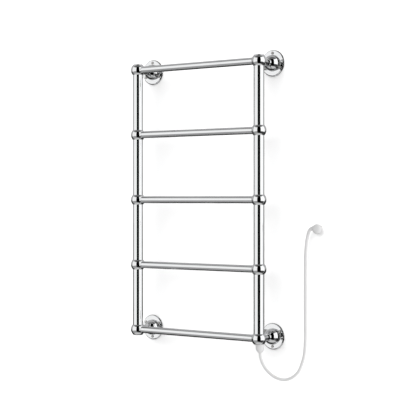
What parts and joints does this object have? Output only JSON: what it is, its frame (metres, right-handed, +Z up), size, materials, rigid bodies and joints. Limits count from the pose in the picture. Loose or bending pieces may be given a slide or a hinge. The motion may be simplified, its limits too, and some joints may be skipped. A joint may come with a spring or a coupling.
{
  "type": "towel warmer rack",
  "caption": "Wall-mounted electric towel warmer: a chrome ladder of round tubes joined by ball fittings on round wall flanges, with a white cord and plug.",
  "frame": {"origin": "middle of the four wall flanges, in the plane of the wall", "axes": "+Z up along the posts, +X to the right as seen from the front, +Y into the wall, so that the front of the rack faces -Y"},
  "size_m": [0.7062, 0.1225, 1.0426],
  "materials": {
    "chrome": "polished chrome plate, mirror bright",
    "stainless": "plain stainless steel, lightly brushed",
    "brass": "turned brass",
    "nickel": "nickel plate",
    "rubber": "matt black rubber",
    "ceramic": "unglazed ceramic",
    "white_vinyl": "smooth white moulded vinyl"
  },
  "bodies": {
    "root": {"left_ball_1": "chrome", "left_ball_2": "chrome", "left_ball_3": "chrome", "left_ball_4": "chrome", "left_ball_5": "chrome", "left_post_section_1": "chrome", "left_post_section_2": "chrome", "left_post_section_3": "chrome", "left_post_section_4": "chrome", "right_ball_1": "chrome", "right_ball_2": "chrome", "right_ball_3": "chrome", "right_ball_4": "chrome", "right_ball_5": "chrome", "right_post_section_1": "chrome", "right_post_section_2": "chrome", "right_post_section_3": "chrome", "right_post_section_4": "chrome", "rung_1": "chrome", "rung_2": "chrome", "rung_3": "chrome", "rung_4": "chrome", "rung_5": "chrome", "bottom_left_arm": "chrome", "bottom_left_flange": "chrome", "bottom_left_screw_1": "stainless", "bottom_left_screw_2": "stainless", "bottom_left_screw_3": "stainless", "bottom_left_cap": "chrome", "top_left_arm": "chrome", "top_left_flange": "chrome", "top_left_screw_1": "stainless", "top_left_screw_2": "stainless", "top_left_screw_3": "stainless", "top_left_cap": "chrome", "bottom_right_arm": "chrome", "bottom_right_flange": "chrome", "bottom_right_screw_1": "stainless", "bottom_right_screw_2": "stainless", "bottom_right_screw_3": "stainless", "top_right_arm": "chrome", "top_right_flange": "chrome", "top_right_screw_1": "stainless", "top_right_screw_2": "stainless", "top_right_screw_3": "stainless", "top_right_cap": "chrome", "heating_element": "stainless", "element_bush": "brass", "element_washer": "rubber", "thermal_cutout": "ceramic", "cutout_clip": "stainless", "strain_relief": "white_vinyl", "power_cord": "white_vinyl", "plug_body": "white_vinyl", "neutral_blade": "nickel", "live_blade": "nickel", "ground_pin": "nickel"}
  },
  "joints": []
}
